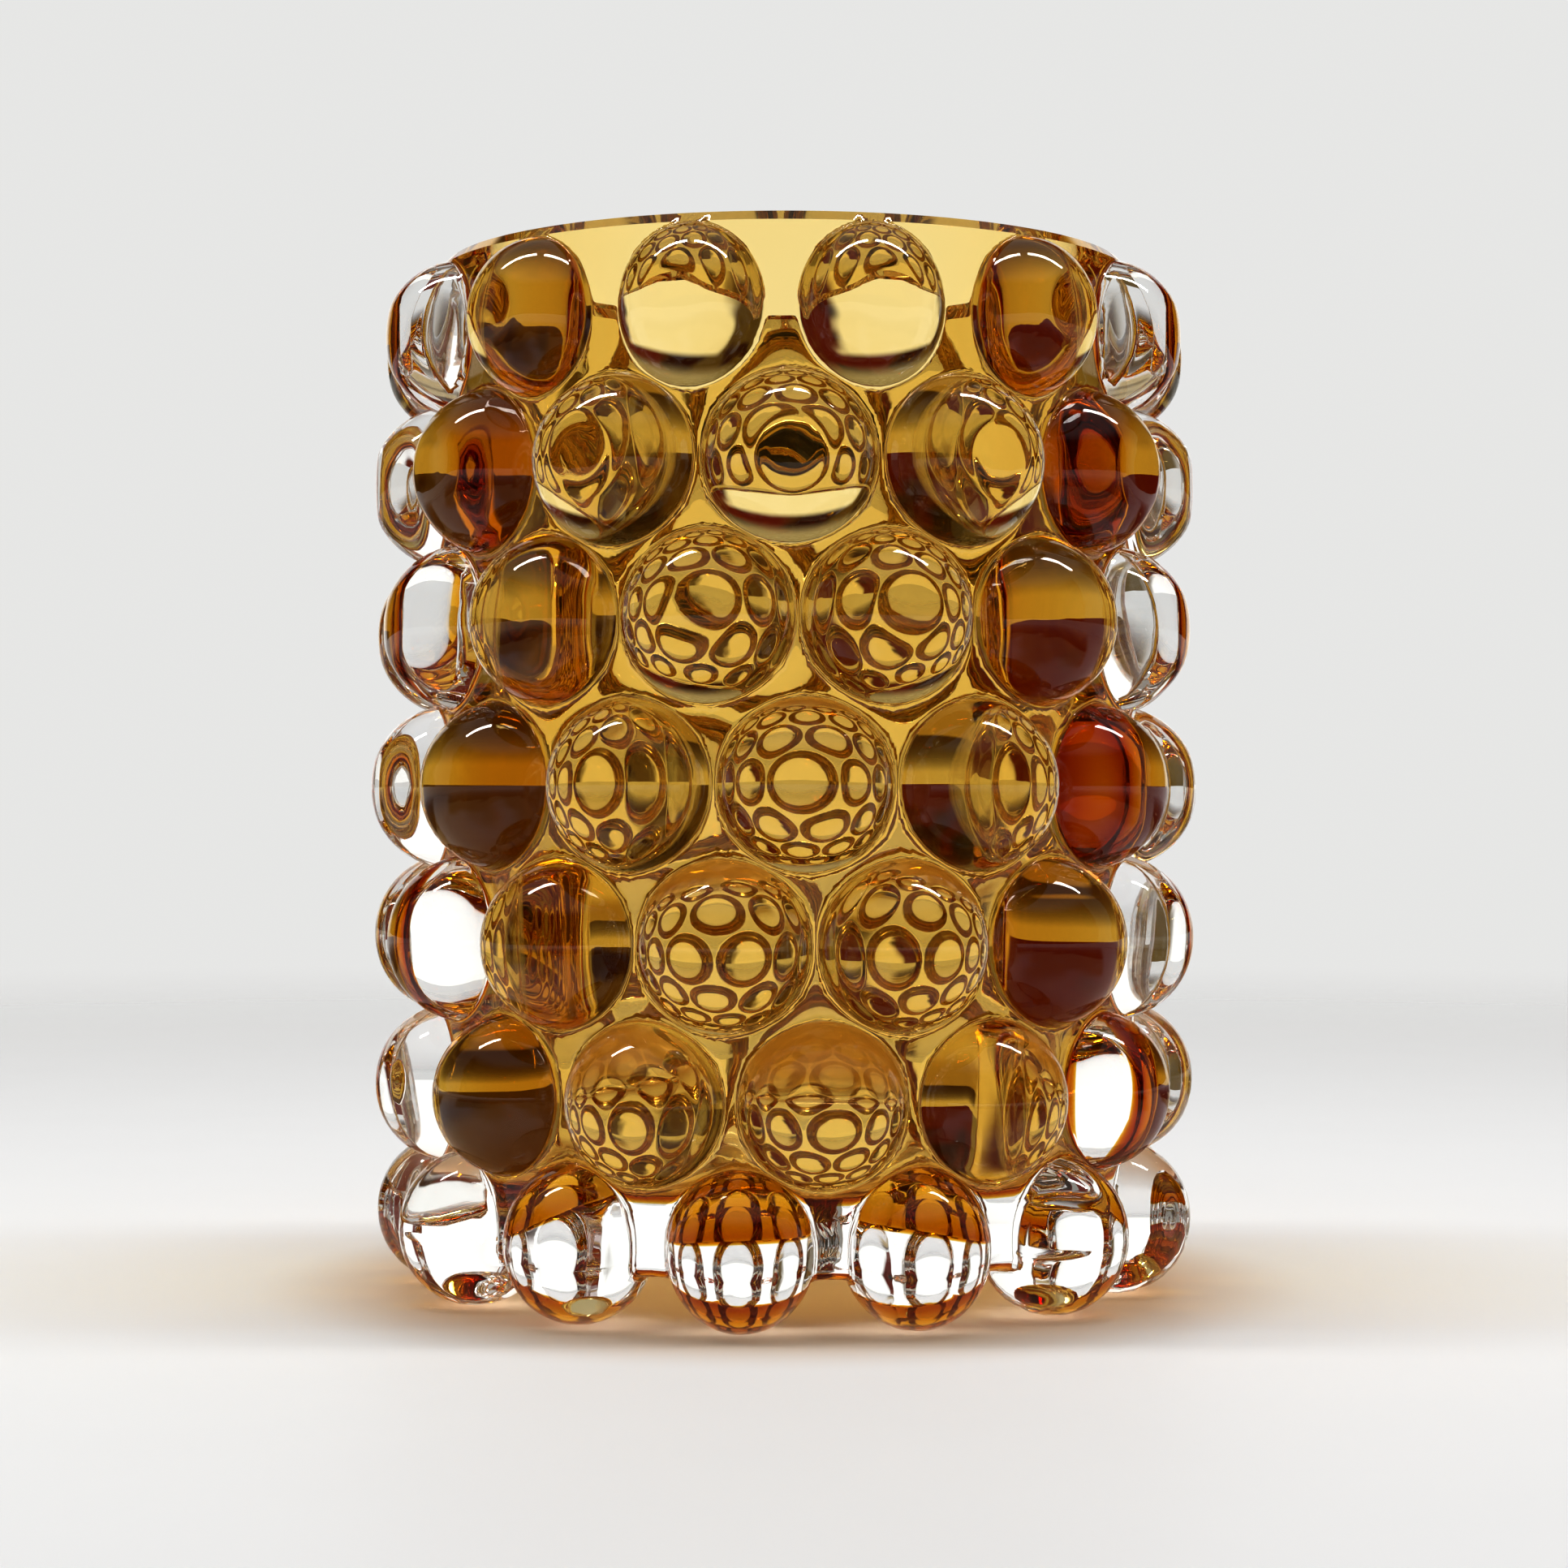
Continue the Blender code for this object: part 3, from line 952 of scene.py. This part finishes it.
def light_room():
    world = bpy.data.worlds.new("light_room")
    bpy.context.scene.world = world
    world.use_nodes = True
    world.node_tree.nodes.clear()
    room = RoomNodes(world.node_tree)
    new, link = room.nodes.new, room.link
    direction = new("ShaderNodeTexCoord").outputs["Generated"]
    split = new("ShaderNodeSeparateXYZ")
    link(direction, split.inputs[0])
    x, _, z = split.outputs
    clutter = room.noise(direction, CLUTTER_SCALE)
    shift = room.math("MULTIPLY", room.math("SUBTRACT", clutter, 0.5), CLUTTER_SHIFT)
    from_behind = room.math("ADD", degrees_from_behind(room, direction), shift)
    colour = room.mix(room.ramp(x, -SIDE_SPLIT, SIDE_SPLIT), LEFT_CORNER, RIGHT_CORNER)
    colour = room.mix(room.ramp(clutter, *DEEP_SHADE_EDGE), colour, DEEP_SHADE)
    colour = room.mix(room.ramp(from_behind, *FRONT_EDGE), colour, FRONT)
    colour = room.mix(room.band(from_behind, *WINDOW_EDGES), colour, SIDE_WINDOW)
    colour = room.mix(room.ramp(z, *CEILING_EDGE), colour, CEILING)
    sweep = room.math("MULTIPLY", room.ramp(from_behind, *SWEEP_EDGE), room.ramp(z, *SWEEP_TOP))
    colour = room.mix(sweep, colour, BACK_WALL)
    colour = room.mix(room.math("LESS_THAN", z, 0.0), colour, BELOW)
    around = new("ShaderNodeBackground")
    link(colour, around.inputs["Color"])
    seen = new("ShaderNodeBackground")
    seen.inputs["Color"].default_value = BACKGROUND
    path = new("ShaderNodeLightPath")
    choose = new("ShaderNodeMixShader")
    link(path.outputs["Is Camera Ray"], choose.inputs["Fac"])
    link(around.outputs[0], choose.inputs[1])
    link(seen.outputs[0], choose.inputs[2])
    link(choose.outputs[0], new("ShaderNodeOutputWorld").inputs["Surface"])
    return world


light_room()
print("room: back wall", BACK_WALL[0], "ceiling", CEILING[0])

# %% Tube lamps overhead
LAMP_LENGTH = 0.80
LAMP_WIDTH = 0.085
LAMP_HEIGHT = 1.10
LAMP_BEFORE_AXIS = 0.02
HALF_LAMP_GAP = 0.06
LAMP_RADIANCE = 29.0


def tube_lamp(side):
    lamp = bpy.data.lights.new("tube_lamp", "AREA")
    lamp.shape = "RECTANGLE"
    lamp.size, lamp.size_y = LAMP_LENGTH, LAMP_WIDTH
    lamp.energy = LAMP_RADIANCE * math.pi * LAMP_LENGTH * LAMP_WIDTH
    obj = bpy.data.objects.new("tube_lamp", lamp)
    bpy.context.scene.collection.objects.link(obj)
    obj.location = (side * (LAMP_LENGTH / 2 + HALF_LAMP_GAP), -LAMP_BEFORE_AXIS, LAMP_HEIGHT)
    return obj


for side in (-1, 1):
    tube_lamp(side)
print("tube lamps at", LAMP_HEIGHT, "m")

# %% [markdown]
# ## Camera
#
# The eye is level with the middle of the vase and close to it, about 0.47 m from its
# axis, which is why the rim curves up and the foot curves down. Glass needs many
# bounces, because light crosses a dozen surfaces on its way through two walls.

# %% Camera
EYE_DISTANCE = 0.470
EYE_HEIGHT = 67.9 * MM
VIEW_WIDTH = 227.3 * MM
VIEW_LIFT = 4.0 * MM
SENSOR = 36.0
NEAREST = 0.01
CONTRAST_GAMMA = 0.76
BOUNCES = {"max_bounces": 40, "transmission_bounces": 40, "glossy_bounces": 12,
           "transparent_max_bounces": 16}


def level_camera():
    camera = bpy.data.cameras.new("camera")
    camera.sensor_width = SENSOR
    camera.lens = SENSOR * EYE_DISTANCE / VIEW_WIDTH
    camera.shift_y = VIEW_LIFT / VIEW_WIDTH
    camera.clip_start = NEAREST
    obj = bpy.data.objects.new("camera", camera)
    bpy.context.scene.collection.objects.link(obj)
    obj.location = (0.0, -EYE_DISTANCE, EYE_HEIGHT)
    obj.rotation_euler = (math.radians(90), 0.0, 0.0)
    bpy.context.scene.camera = obj
    return obj


camera = level_camera()
scene = bpy.context.scene
scene.view_settings.view_transform = "Standard"
scene.view_settings.gamma = CONTRAST_GAMMA
for name, count in BOUNCES.items():
    setattr(scene.cycles, name, count)
print("lens", round(camera.data.lens, 1), "mm")

# %% Write both boxes and finish
low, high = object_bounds()
for name, span in (("part", cad_high - cad_low), ("glass", high - low)):
    print(name, [round(length / MM, 2) for length in span], "mm")
